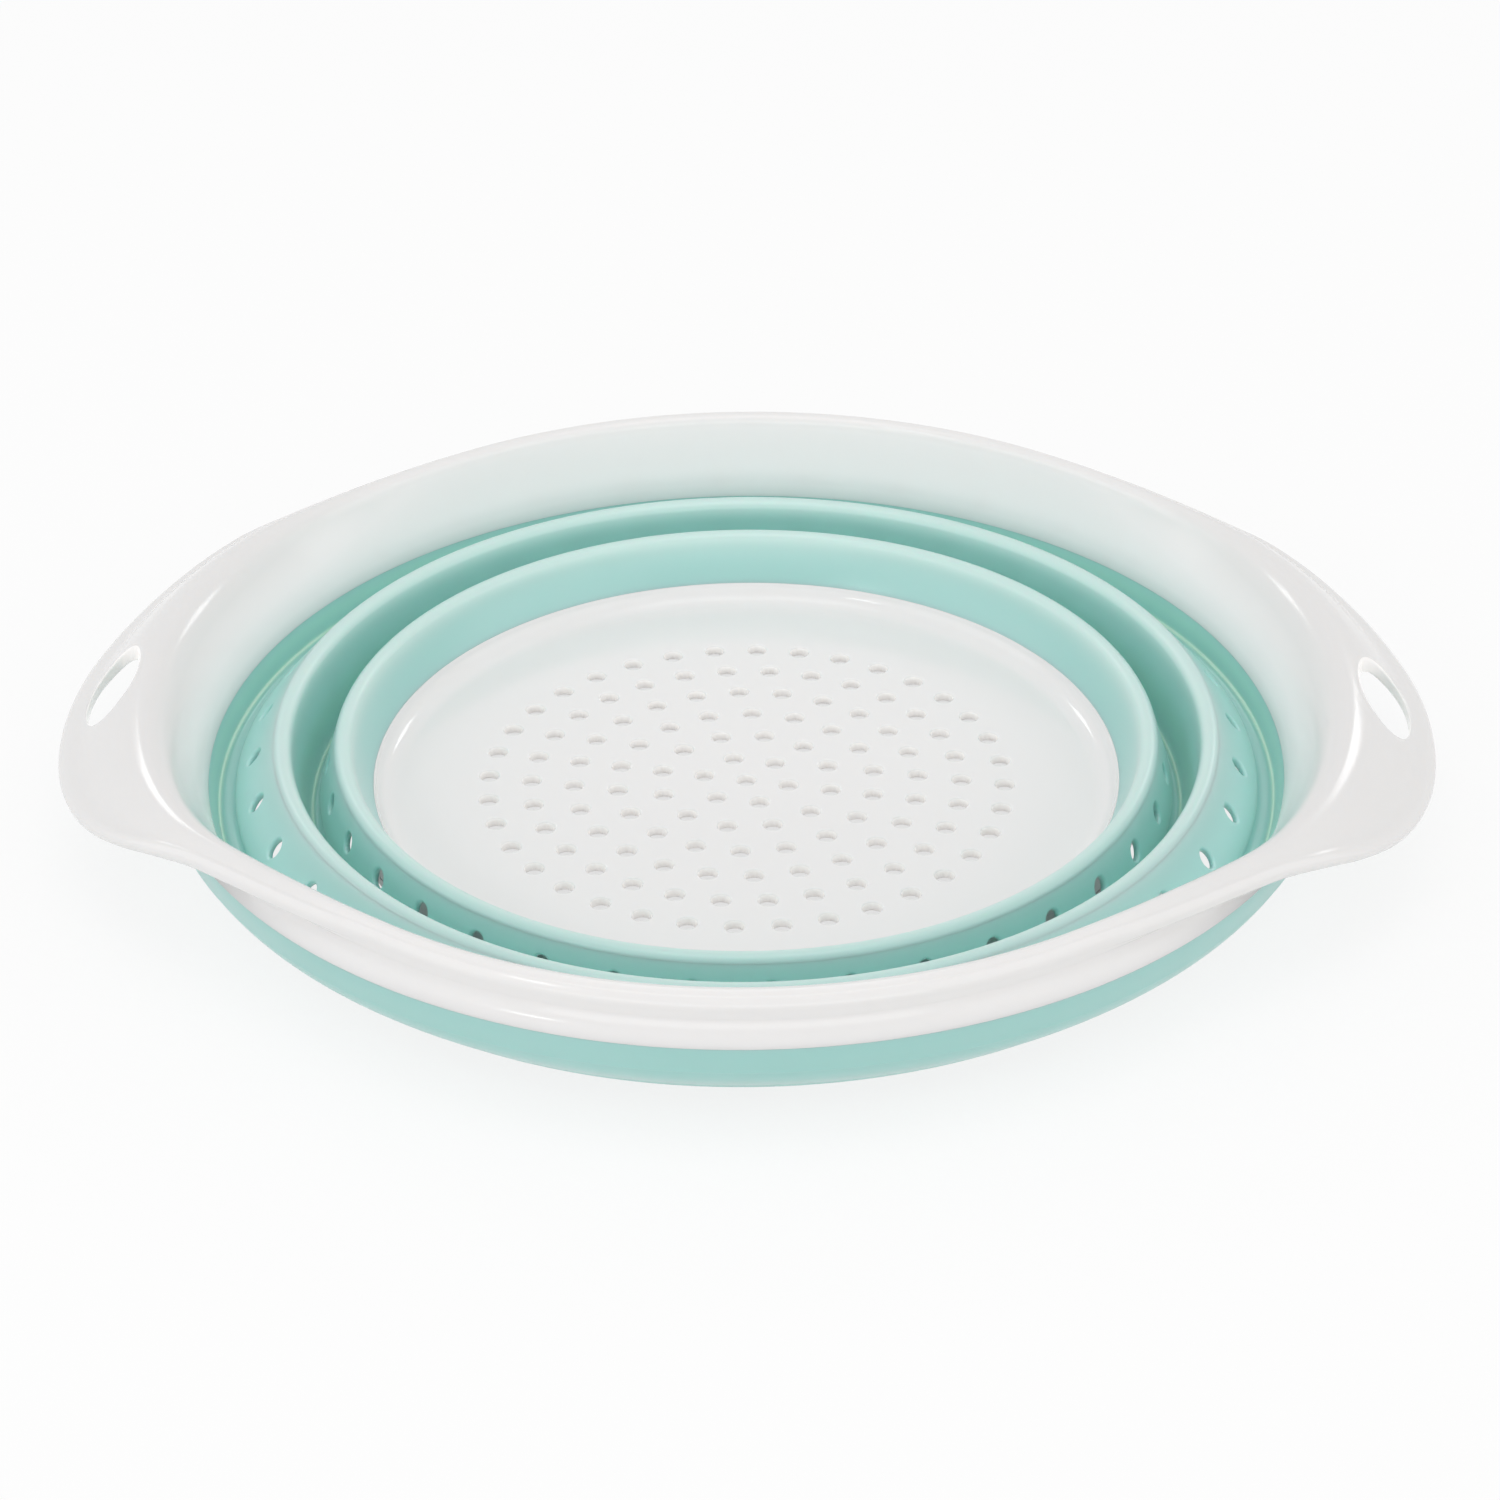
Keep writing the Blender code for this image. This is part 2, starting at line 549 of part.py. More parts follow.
def rim_outline(angle):
    reach = smooth_share(angle, REACH_SHARES)
    droop = smooth_share(angle, DROOP_SHARES)
    crest = smooth_share(angle, CREST_SHARES)
    drop = groove_share(angle)
    shoulder_inner = SKIRT_RADIUS - SHOULDER_WIDTH + SEAM_GAP
    crest_radius = mix(LIP_RADIUS, EAR_CREST_RADIUS, crest)
    crest_height = mix(RIM_HEIGHT, EAR_CREST_HEIGHT, crest)
    edge_radius = mix(LIP_EDGE_RADIUS, EAR_TIP_RADIUS - EDGE_ROUND, reach)
    edge_height = mix(LIP_EDGE_HEIGHT, EAR_TIP_HEIGHT, droop)
    tip_radius = mix(LIP_OUTER_RADIUS, EAR_TIP_RADIUS, reach)
    under_radius = mix(LIP_OUTER_RADIUS, EAR_TIP_RADIUS - EDGE_ROUND, reach)
    under_height = mix(LIP_UNDER_HEIGHT, EAR_TIP_HEIGHT - EAR_THICKNESS, droop)
    wall_radius = mix(LIP_OUTER_RADIUS, EAR_WALL_RADIUS, crest * reach)
    wall_height = mix(WALL_TOP_HEIGHT, EAR_WALL_HEIGHT, crest)
    points = [
        (MOUTH_RADIUS, MOUTH_HEIGHT),
        (MOUTH_RADIUS + mix(FACE_LOW_LEAN, EAR_FACE_LOW_LEAN, crest),
         FACE_LOW_HEIGHT),
        (MOUTH_RADIUS + mix(FACE_MID_LEAN, EAR_FACE_MID_LEAN, crest),
         FACE_MID_HEIGHT),
        (MOUTH_RADIUS + mix(FACE_TOP_LEAN, EAR_FACE_TOP_LEAN, crest),
         FACE_TOP_HEIGHT),
        (mix(LIP_SHOULDER_RADIUS, EAR_SHOULDER_RADIUS, crest),
         mix(LIP_EDGE_HEIGHT, EAR_SHOULDER_HEIGHT, crest)),
        (crest_radius, crest_height),
    ]
    for run, fall in zip(BLADE_RUN_SHARES, BLADE_DROP_SHARES):
        points.append((
            mix(crest_radius, edge_radius, run),
            mix(crest_height, edge_height, fall)))
    points.append((edge_radius, edge_height))
    points.append((tip_radius, mix(edge_height, under_height, 0.5)))
    points.append((under_radius, under_height))
    for run, rise in zip(UNDER_RUN_SHARES, UNDER_RISE_SHARES):
        points.append((
            mix(wall_radius, under_radius, run),
            mix(under_height, wall_height, rise * mix(run, 1.0, rise))))
    points += [
        (mix(STEP_RADIUS, wall_radius, reach), STEP_HEIGHT),
        (SKIRT_RADIUS, SKIRT_HEIGHT),
        (shoulder_inner, SKIRT_HEIGHT),
        (GROOVE_OUTER_RADIUS,
         mix(GROOVE_TOP_HEIGHT, EAR_GROOVE_OUTER_HEIGHT, drop)),
        (GROOVE_INNER_RADIUS,
         mix(GROOVE_TOP_HEIGHT, EAR_GROOVE_INNER_HEIGHT, drop)),
        (MOUTH_RADIUS + LINER_THICKNESS + LINER_LEAN, FACE_LOW_HEIGHT),
        (MOUTH_RADIUS + LINER_THICKNESS, MOUTH_HEIGHT),
    ]
    return points


def make_hang_cutter():
    work = bmesh.new()
    middle = (EAR_TIP_HEIGHT + EAR_CREST_HEIGHT) / 2.0
    depth = EAR_CREST_HEIGHT - EAR_TIP_HEIGHT + 2.0 * CUT_OVERRUN
    reach = (HANG_HOLE_INNER_RADIUS + HANG_HOLE_OUTER_RADIUS) / 2.0
    width = HANG_HOLE_OUTER_RADIUS - HANG_HOLE_INNER_RADIUS
    across, along, axis = Matrix.Identity(3).col
    for side in (-1.0, 1.0):
        centre = Vector((reach * side, 0.0, middle))
        add_prism(
            work, centre, along, across, axis,
            HANG_HOLE_LENGTH, width, depth, HANG_HOLE_SIDES)
    return make_cutter("hang_hole_cutter", work)


def make_empty(name, parent):
    empty = bpy.data.objects.new(name, None)
    empty.empty_display_size = PLATE_FLAT_RADIUS
    empty.parent = parent
    bpy.context.scene.collection.objects.link(empty)
    return empty


def main():
    clear_scene()
    white_rim = make_material("white_rim_plastic", WHITE_COLOUR, WHITE_ROUGHNESS)
    white_base = make_material("white_base_plastic", WHITE_COLOUR, WHITE_ROUGHNESS)
    mint = {
        name: make_material(name + "_rubber", MINT_COLOUR, MINT_ROUGHNESS)
        for name in (
            "outer_wall_band", "outer_fold_web", "middle_wall_band",
            "inner_fold_web", "inner_wall_band")
    }

    base_stage = make_empty("base_stage", None)
    middle_stage = make_empty("middle_stage", base_stage)
    rim_stage = make_empty("rim_stage", middle_stage)

    base = make_base(white_base)
    cut_with(base, make_strainer_cutter())
    base.parent = base_stage

    def round_piece(name, section, stage):
        piece = loft_round(name, section, mint[name])
        piece.parent = stage
        return piece

    round_piece("inner_wall_band", inner_wall_outline, base_stage)
    round_piece("middle_wall_band", middle_wall_outline, middle_stage)
    round_piece("outer_wall_band", outer_wall_outline, rim_stage)

    inner_points = web_outline(INNER_FRAME)
    inner_web = round_piece("inner_fold_web", lambda a: inner_points, base_stage)
    cut_with(inner_web, make_drain_cutter(
        "inner_drain_cutter", INNER_FRAME, INNER_DRAIN_SHARE))

    outer_points = web_outline(OUTER_FRAME)
    outer_web = round_piece("outer_fold_web", lambda a: outer_points, middle_stage)
    cut_with(outer_web, make_drain_cutter(
        "outer_drain_cutter", OUTER_FRAME, OUTER_DRAIN_SHARE))

    rim = loft_round("rim_frame", rim_outline, white_rim, "ALTERNATE")
    rim.parent = rim_stage
    cut_with(rim, make_hang_cutter())


main()
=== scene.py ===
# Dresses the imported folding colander: white plastic rim and base, soft mint wall
import math

import bmesh
import bpy
import numpy as np
from mathutils import Matrix, Vector
from mathutils.geometry import delaunay_2d_cdt


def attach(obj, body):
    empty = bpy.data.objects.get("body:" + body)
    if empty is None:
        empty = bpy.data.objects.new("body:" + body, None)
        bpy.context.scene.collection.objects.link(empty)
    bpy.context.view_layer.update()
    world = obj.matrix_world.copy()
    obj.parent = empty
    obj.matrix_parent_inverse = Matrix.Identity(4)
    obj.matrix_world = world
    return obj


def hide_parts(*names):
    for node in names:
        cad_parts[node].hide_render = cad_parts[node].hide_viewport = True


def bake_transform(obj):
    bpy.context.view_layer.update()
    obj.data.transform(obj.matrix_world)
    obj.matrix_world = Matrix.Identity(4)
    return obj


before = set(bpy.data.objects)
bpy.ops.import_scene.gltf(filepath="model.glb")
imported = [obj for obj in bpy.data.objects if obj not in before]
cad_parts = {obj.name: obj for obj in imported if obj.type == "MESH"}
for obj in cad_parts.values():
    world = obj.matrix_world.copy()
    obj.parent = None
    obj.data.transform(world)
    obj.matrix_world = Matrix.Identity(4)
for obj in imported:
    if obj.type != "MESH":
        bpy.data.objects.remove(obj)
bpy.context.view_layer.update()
mm = 0.001
columns = 432  # facets round every ring: twelve to each ten degrees
curveSteps = 4  # steps between two knots of an outline
joinDistance = 0.002 * mm  # corners closer than this become one
creaseAngle = math.radians(32)  # edges sharper than this stay crisp
scene = bpy.context.scene
print("frame loaded")


# Node helpers

def combine(operation, first, second=0.0):
    # A Math node on two values, of which at least one is a socket
    tree = first.tree if isinstance(first, Socket) else second.tree
    return tree.add("ShaderNodeMath", {"operation": operation}, {0: first, 1: second})


class Socket:
    # An output of a node, so that sums in a tree read as sums
    def __init__(self, tree, link):
        self.tree = tree
        self.link = link

    def __add__(self, other):
        return combine("ADD", self, other)

    __radd__ = __add__

    def __sub__(self, other):
        return combine("SUBTRACT", self, other)

    def __rsub__(self, other):
        return combine("SUBTRACT", other, self)

    def __mul__(self, other):
        return combine("MULTIPLY", self, other)

    __rmul__ = __mul__

    def __truediv__(self, other):
        return combine("DIVIDE", self, other)

    def __rtruediv__(self, other):
        return combine("DIVIDE", other, self)

    def __pow__(self, other):
        return combine("POWER", self, other)

    def other(self, name):
        # Another output of the same node
        return Socket(self.tree, self.link.node.outputs[name])


class Tree:
    # Adds nodes: their settings first, then the values or links of their inputs
    def __init__(self, nodeTree):
        self.nodes = nodeTree.nodes
        self.links = nodeTree.links

    def add(self, kind, settings=None, inputs=None, out=0):
        node = self.nodes.new(kind)
        for name, value in (settings or {}).items():
            setattr(node, name, value)
        for key, value in (inputs or {}).items():
            if isinstance(value, Socket):
                self.links.new(value.link, node.inputs[key])
            else:
                node.inputs[key].default_value = value
        return Socket(self, node.outputs[out]) if len(node.outputs) else None


# Camera, at the photograph's angle

view = {  # metres and degrees, and mm for the lens and sensor
    "distance": 0.85,
    "elevation": 31.8,
    "turn": 2.0,
    "roll": 0.475,
    "across": 0.000892,
    "up": 0.006806,
    "aimHeight": 0.005,
    "clipStart": 0.01,
    "lens": 87.72,
    "sensor": 36.0,
}


def makeCamera():
    tilt = math.radians(view["elevation"])
    roll = math.radians(view["roll"])
    right = Vector((1, 0, 0))
    up = Vector((0, math.sin(tilt), math.cos(tilt)))
    ahead = Vector((0, math.cos(tilt), -math.sin(tilt)))
    place = right * view["across"] + up * view["up"] - ahead * view["distance"]
    across = right * math.cos(roll) - up * math.sin(roll)
    above = right * math.sin(roll) + up * math.cos(roll)
    axes = Matrix((across, above, -ahead)).transposed().to_4x4()
    turn = Matrix.Rotation(math.radians(view["turn"]), 4, "Z")
    lift = Matrix.Translation((0, 0, view["aimHeight"]))
    eye = bpy.data.objects.new("camera", bpy.data.cameras.new("camera"))
    eye.data.lens = view["lens"]
    eye.data.sensor_width = view["sensor"]
    eye.data.clip_start = view["clipStart"]
    eye.matrix_world = lift @ turn @ Matrix.Translation(place) @ axes
    scene.collection.objects.link(eye)
    scene.camera = eye


makeCamera()
scene.view_settings.view_transform = "Standard"
print("camera placed")


# Studio: white surroundings, soft lamps and a pale floor

studio = {
    "skyLight": 0.61,  # light that the surroundings cast, and how bright they look
    "skyShown": 1.0,
    "floorColour": (0.84, 0.84, 0.84, 1.0),
    "floorGlow": 1.04,
    "floorGlowShare": 0.80,
    "paintedShadowDim": 0.18,  # painted shadow: share by which the glow drops under the base
    "paintedShadowRadius": 0.076,
    "floorSize": 12.0,
    "lampDistance": 1.3,
}
lamps = {  # turn from the X axis, height in degrees, width, height, watts and tint
    "frontFill": (-90, 9, 1.70, 0.36, 2.8, (1.0, 0.99, 0.98)),
    "leftFill": (-160, 24, 1.50, 0.80, 2.1, (0.98, 0.99, 1.0)),
    "rightFill": (-22, 24, 1.50, 0.80, 2.2, (1.0, 0.99, 0.97)),
    "frontLeftLamp": (-128, 34, 0.20, 0.14, 0.5, (0.98, 0.99, 1.0)),
    "backLeftLamp": (125, 34, 0.22, 0.16, 0.50, (1.0, 1.0, 1.0)),
    "backRightLamp": (58, 30, 0.24, 0.18, 0.55, (1.0, 1.0, 1.0)),
    "topLamp": (-90, 82, 0.90, 0.70, 2.4, (1.0, 0.99, 0.98)),
}


def shownRay(tree):
    # One for rays that the camera follows to a surrounding, zero for its light
    ray = tree.add("ShaderNodeLightPath", out="Is Camera Ray")
    return ray + ray.other("Is Glossy Ray") + ray.other("Is Transmission Ray")


def makeSky():
    sky = bpy.data.worlds.new("studioSky")
    sky.use_nodes = True
    sky.node_tree.nodes.clear()
    tree = Tree(sky.node_tree)
    gap = studio["skyShown"] - studio["skyLight"]
    strength = shownRay(tree) * gap + studio["skyLight"]
    light = tree.add("ShaderNodeBackground", None, {"Strength": strength})
    tree.add("ShaderNodeOutputWorld", None, {"Surface": light})
    light.link.node.inputs["Color"].default_value = (1, 1, 1, 1)
    scene.world = sky


def makeFloor():
    half = studio["floorSize"] / 2
    mesh = bpy.data.meshes.new("floor")
    corners = [(-half, -half, 0), (half, -half, 0), (half, half, 0), (-half, half, 0)]
    mesh.from_pydata(corners, [], [(0, 1, 2, 3)])
    floor = bpy.data.objects.new("floor", mesh)
    scene.collection.objects.link(floor)
    material = bpy.data.materials.new("paleFloor")
    material.use_nodes = True
    material.node_tree.nodes.clear()
    tree = Tree(material.node_tree)
    matte = tree.add("ShaderNodeBsdfDiffuse", None, {"Color": studio["floorColour"]})
    glow = tree.add("ShaderNodeEmission", None, {
        "Color": (1, 1, 1, 1), "Strength": studio["floorGlow"]})
    place = tree.add("ShaderNodeTexCoord", out="Object")
    radius = tree.add("ShaderNodeVectorMath", {"operation": "LENGTH"}, {0: place}, 1)
    # Painted shadow: the floor's glow drops in a disc under the base
    under = combine("LESS_THAN", radius, studio["paintedShadowRadius"])
    share = shownRay(tree) * studio["floorGlowShare"]
    share = share * (1 - under * studio["paintedShadowDim"])
    both = tree.add("ShaderNodeMixShader", None, {0: share, 1: matte, 2: glow})
    tree.add("ShaderNodeOutputMaterial", None, {"Surface": both})
    mesh.materials.append(material)


def makeLamps():
    for name, (turn, rise, width, height, watts, tint) in lamps.items():
        light = bpy.data.lights.new(name, "AREA")
        light.shape = "RECTANGLE"
        light.size = width
        light.size_y = height
        light.energy = watts
        light.color = tint
        flat = math.cos(math.radians(rise))
        place = Vector((flat * math.cos(math.radians(turn)),
                        flat * math.sin(math.radians(turn)),
                        math.sin(math.radians(rise)))) * studio["lampDistance"]
        lamp = bpy.data.objects.new(name, light)
        lamp.location = place
        lamp.rotation_euler = (-place).to_track_quat("-Z", "Y").to_euler()
        scene.collection.objects.link(lamp)


makeSky()
makeFloor()
makeLamps()
print("studio lit")


# Materials

rimLook = {
    "pale": (0.872, 0.860, 0.855, 1.0),
    "dull": (0.850, 0.842, 0.838, 1.0),
    "flowScale": 14.0,
    "shine": 0.5,
    "roughness": 0.12,
    "roughnessSpread": 0.06,
    "grainScale": 520.0,
    "grainHeight": 0.00002,
    "grainStrength": 0.03,
    "softness": 0.30,  # share of the light that passes through the plastic
    "depth": 0.0022,
    "depthTint": (1.0, 0.94, 0.88),
    "sheen": 0.0,
    "glow": 0.40,  # painted glow on the bowl side of the upright wall, standing in for light that reaches the bowl through it
    "paintedGlowColour": (0.30, 0.246, 0.258, 1.0),
    "glowHeights": (13.5, 37.0),  # between these heights in mm, and inside the radius
    "glowRadius": 130.0,
    "glowFade": 4.0,
    "paintedHoleGlowColour": (0.45, 0.43, 0.41, 1.0),  # painted glow on the walls of the hang holes
    "paintedHoleGlowPlace": (145.7, 6.2, 15.6),  # their distance and half sizes, in mm
}
baseLook = {
    **rimLook,
    # paler than the rim's white: painted light that brightens the plate
    "pale": (0.955, 0.944, 0.940, 1.0),
    "dull": (0.940, 0.930, 0.926, 1.0),
    "roughness": 0.07,
    "softness": 0.25,
    "glow": 0.165,  # painted glow on the sides of the holes, standing in for light that reaches them through the plate
    "paintedGlowColour": (1.0, 0.95, 0.88, 1.0),
    "glowHeights": (2.7, 4.7),
    "glowRadius": 65.0,
    "glowFade": 0.1,
}
mintLook = {
    "pale": (0.392, 0.688, 0.655, 1.0),
    "deep": (0.358, 0.660, 0.616, 1.0),
    # painted light tints: glow of the thin hinges, light through the webs, highlight on
    # the ridges, lit walls
    "thin": (0.580, 0.850, 0.690, 1.0),
    "web": (0.500, 0.870, 0.820, 1.0),
    "ridge": (0.640, 0.840, 0.800, 1.0),
    "lit": (0.450, 0.780, 0.700, 1.0),
    "ringFalloff": 3,
    "flowScale": 18.0,
    "shine": 0.8,
    "roughness": 0.26,
    "roughnessSpread": 0.08,
    "grainScale": 900.0,
    "grainHeight": 0.00003,
    "grainStrength": 0.12,
    "softness": 0.45,
    "depth": 0.0022,
    "depthTint": (0.60, 1.0, 0.85),
    "sheen": 0.10,
}
paintedLightRings = [  # radius, height and width in mm of painted light: where light comes through the wall, and highlights on the ridges
    (97.6, 11.0, 10.0, "web"),
    (114.6, 14.2, 11.0, "web"),
    (91.6, 20.2, 5.5, "ridge"),
    (105.5, 22.1, 5.5, "ridge"),
    (102.6, 9.0, 6.0, "lit"),
    (122.7, 12.0, 3.2, "lit"),
    (100.35, 4.0, 0.7, "thin"),
    (121.25, 9.0, 0.9, "thin"),
]


def startMaterial(name, look):
    # Shared by plastic and rubber: slow flow marks, varied gloss and a fine grain
    material = bpy.data.materials.new(name)
    material.use_nodes = True
    material.node_tree.nodes.clear()
    tree = Tree(material.node_tree)
    place = tree.add("ShaderNodeTexCoord", out="Object")
    flow = tree.add("ShaderNodeTexNoise", None, {
        "Vector": place, "Scale": look["flowScale"], "Detail": 3.0})
    grain = tree.add("ShaderNodeTexNoise", None, {
        "Vector": place, "Scale": look["grainScale"], "Detail": 2.0})
    roughness = flow * look["roughnessSpread"] + look["roughness"]
    bump = tree.add("ShaderNodeBump", None, {
        "Height": grain, "Strength": look["grainStrength"],
        "Distance": look["grainHeight"]})
    return material, tree, place, flow, roughness, bump


def mixColour(tree, share, first, second):
    settings = {"data_type": "RGBA"}
    return tree.add("ShaderNodeMix", settings, {0: share, 6: first, 7: second}, out=2)


def fadeIn(tree, distance, width):
    # Rises from zero at no distance inside a limit to one at the width, given in mm
    settings = {"operation": "DIVIDE", "use_clamp": True}
    return tree.add("ShaderNodeMath", settings, {0: distance, 1: width * mm})


def finishMaterial(tree, look, colour, roughness, bump, glow=None):
    surface = tree.add("ShaderNodeBsdfPrincipled", None, {
        "Base Color": colour, "Roughness": roughness, "Normal": bump,
        "Specular IOR Level": look["shine"], "Sheen Weight": look["sheen"],
        "Subsurface Weight": look["softness"], "Subsurface Scale": look["depth"],
        "Subsurface Radius": look["depthTint"]})
    # a painted glow goes into the emission
    if glow is not None:
        sockets = surface.link.node.inputs
        tree.links.new(glow.link, sockets["Emission Color"])
        sockets["Emission Strength"].default_value = look["glow"]
    tree.add("ShaderNodeOutputMaterial", None, {"Surface": surface})


def ringPlace(tree, place):
    # Distance from the upright axis, and height
    flat = tree.add("ShaderNodeVectorMath", {"operation": "MULTIPLY"}, {
        0: place, 1: (1, 1, 0)})
    radius = tree.add("ShaderNodeVectorMath", {"operation": "LENGTH"}, {0: flat}, 1)
    height = tree.add("ShaderNodeSeparateXYZ", None, {0: place}, out=2)
    return radius, height


def paintedWallGlow(tree, look, place):
    # Colour of the painted glow inside its heights and radius, black elsewhere
    radius, height = ringPlace(tree, place)
    low, high = look["glowHeights"]
    fade = look["glowFade"]
    share = fadeIn(tree, height - low * mm, fade) * fadeIn(tree, high * mm - height, fade)
    share = share * fadeIn(tree, look["glowRadius"] * mm - radius, fade)
    return mixColour(tree, share, (0, 0, 0, 1), look["paintedGlowColour"])


def paintedHoleGlowMask(tree, look, place):
    # One within the ovals of the two hang holes, where their walls get a painted glow
    reach, halfWidth, halfLength = look["paintedHoleGlowPlace"]
    along = tree.add("ShaderNodeSeparateXYZ", None, {0: place}, out=1)
    across = combine("ABSOLUTE", along.other("X"))
    across = (across - reach * mm) / (halfWidth * mm)
    along = along / (halfLength * mm)
    return combine("LESS_THAN", across * across + along * along, 1.0)


def whitePlastic(name, look):
    material, tree, place, flow, roughness, bump = startMaterial(name, look)
    colour = mixColour(tree, flow, look["pale"], look["dull"])
    # Painted glow: on the bowl side of the wall, and on the walls of the hang holes
    glow = paintedWallGlow(tree, look, place)
    mask = paintedHoleGlowMask(tree, look, place)
    glow = mixColour(tree, mask, glow, look["paintedHoleGlowColour"])
    finishMaterial(tree, look, colour, roughness, bump, glow)
    return material


def mintRubber(name):
    look = mintLook
    material, tree, place, flow, roughness, bump = startMaterial(name, look)
    colour = mixColour(tree, flow, look["pale"], look["deep"])
    radius, height = ringPlace(tree, place)
    # Painted light: the rubber turns paler round each listed ring
    for ring, level, width, tint in paintedLightRings:
        across = (radius - ring * mm) / (width * mm)
        above = (height - level * mm) / (width * mm)
        near = 1 / (across * across + above * above + 1) ** look["ringFalloff"]
        colour = mixColour(tree, near, colour, look[tint])
    finishMaterial(tree, look, colour, roughness, bump)
    return material


white = {"rimWhite": whitePlastic("rimWhite", rimLook),
         "baseWhite": whitePlastic("baseWhite", baseLook)}
mint = mintRubber("wallMint")
print("materials made")


# Outlines, as (radius, height) in mm

def smoothPath(knots, counts=None):
    # An even curve through the knots, with as many steps after each as counts say
    knots = np.array(knots, float)
    ends = np.vstack([2 * knots[0] - knots[1], knots, 2 * knots[-1] - knots[-2]])
    gaps = np.sqrt(np.linalg.norm(np.diff(ends, axis=0), axis=1))
    marks = np.concatenate([[0], np.cumsum(gaps)])
    points = []
    for i, count in enumerate(counts or [curveSteps] * (len(knots) - 1)):
        a, b, c, d = ends[i:i + 4]
        ta, tb, tc, td = marks[i:i + 4]
        for t in np.linspace(tb, tc, count, endpoint=False):
            ab = a + (b - a) * (t - ta) / (tb - ta)
            bc = b + (c - b) * (t - tb) / (tc - tb)
            cd = c + (d - c) * (t - tc) / (td - tc)
            abc = ab + (bc - ab) * (t - ta) / (tc - ta)
            bcd = bc + (cd - bc) * (t - tb) / (td - tb)
            points.append(tuple(abc + (bcd - abc) * (t - tb) / (tc - tb)))
    return points + [tuple(knots[-1])]


def arcPoints(centre, radius, fromDegrees, toDegrees, count):
    turns = np.radians(np.linspace(fromDegrees, toDegrees, count))
    return [(centre[0] + radius * math.cos(t), centre[1] + radius * math.sin(t))
            for t in turns]


# Meshes

def addPiece(name, mesh):
    piece = bpy.data.objects.new(name, mesh)
    scene.collection.objects.link(piece)
    return piece


def joinRows(work, first, second, closed=True):
    # A row of faces between two rows of corners
    count = len(first)
    for i in range(count if closed else count - 1):
        j = (i + 1) % count
        work.faces.new((first[i], first[j], second[j], second[i]))


def tidyMesh(mesh, material=None):
    # Joins seams, turns faces outwards and keeps only real corners crisp
    work = bmesh.new()
    work.from_mesh(mesh)
    bmesh.ops.remove_doubles(work, verts=work.verts, dist=joinDistance)
    bmesh.ops.recalc_face_normals(work, faces=work.faces)
    if work.calc_volume(signed=True) < 0:
        bmesh.ops.reverse_faces(work, faces=work.faces)
    loose = sum(1 for edge in work.edges if len(edge.link_faces) != 2)
    work.to_mesh(mesh)
    work.free()
    if loose:
        print("open edges in", mesh.name, loose)
    mesh.shade_smooth()
    mesh.set_sharp_from_angle(angle=creaseAngle)
    if material is not None:
        mesh.materials.clear()
        mesh.materials.append(material)


def geometryTree(name, inputs):
    # An empty tree with a geometry in and out, and named inputs with their values
    group = bpy.data.node_groups.new(name, "GeometryNodeTree")
    kinds = {int: "NodeSocketInt", float: "NodeSocketFloat"}
    face = group.interface
    face.new_socket("Geometry", in_out="INPUT", socket_type="NodeSocketGeometry")
    for label, value in inputs.items():
        kind = kinds.get(type(value), "NodeSocketMaterial")
        face.new_socket(label, in_out="INPUT", socket_type=kind)
    face.new_socket("Geometry", in_out="OUTPUT", socket_type="NodeSocketGeometry")
    tree = Tree(group)
    given = tree.add("NodeGroupInput", out="Geometry")
    return group, tree, given


def runTree(piece, group, inputs):
    # Sets the inputs by identifier and keeps the result as a plain mesh
    modifier = piece.modifiers.new(group.name, "NODES")
    modifier.node_group = group
    for item in group.interface.items_tree:
        if item.in_out == "INPUT" and item.name in inputs:
            modifier[item.identifier] = inputs[item.name]
    graph = bpy.context.evaluated_depsgraph_get()
    mesh = bpy.data.meshes.new_from_object(piece.evaluated_get(graph))
    mesh.name = piece.name
    piece.modifiers.remove(modifier)
    piece.data = mesh


spin = {"Ring Radius": 100.0 * mm, "Columns": columns, "Finish": mint}


def makeSpinTree():
    # Sweeps the outline round a ring
    group, tree, given = geometryTree("spunRing", spin)
    outline = tree.add("GeometryNodeMeshToCurve", None, {0: given})
    outline = tree.add("GeometryNodeTransform", None, {
        0: outline, "Rotation": (math.radians(90), 0, 0)})
    ring = tree.add("GeometryNodeCurvePrimitiveCircle", {"mode": "RADIUS"}, {
        "Resolution": given.other("Columns"), "Radius": given.other("Ring Radius")})
    swept = tree.add("GeometryNodeCurveToMesh", None, {0: ring, 1: outline})
    swept = tree.add("GeometryNodeRealizeInstances", None, {0: swept})
    done = tree.add("GeometryNodeSetMaterial", None, {
        "Geometry": swept, "Material": given.other("Finish")})
    tree.add("NodeGroupOutput", None, {0: done})
    return group


spinTree = makeSpinTree()


def spinOutline(name, points, material, closed=True):
    # points run round the section in mm; the ring radius is where x is zero
    ring = spin["Ring Radius"]
    mesh = bpy.data.meshes.new(name)
    count = len(points)
    edges = [(i, i + 1) for i in range(count - 1)] + ([(count - 1, 0)] if closed else [])
    mesh.from_pydata([(r * mm - ring, 0, z * mm) for r, z in points], edges, [])
    piece = addPiece(name, mesh)
    runTree(piece, spinTree, {**spin, "Finish": material})
    if closed:
        tidyMesh(piece.data)
    return piece


# Folding wall: two ridges, and a web that falls from each to its hinge

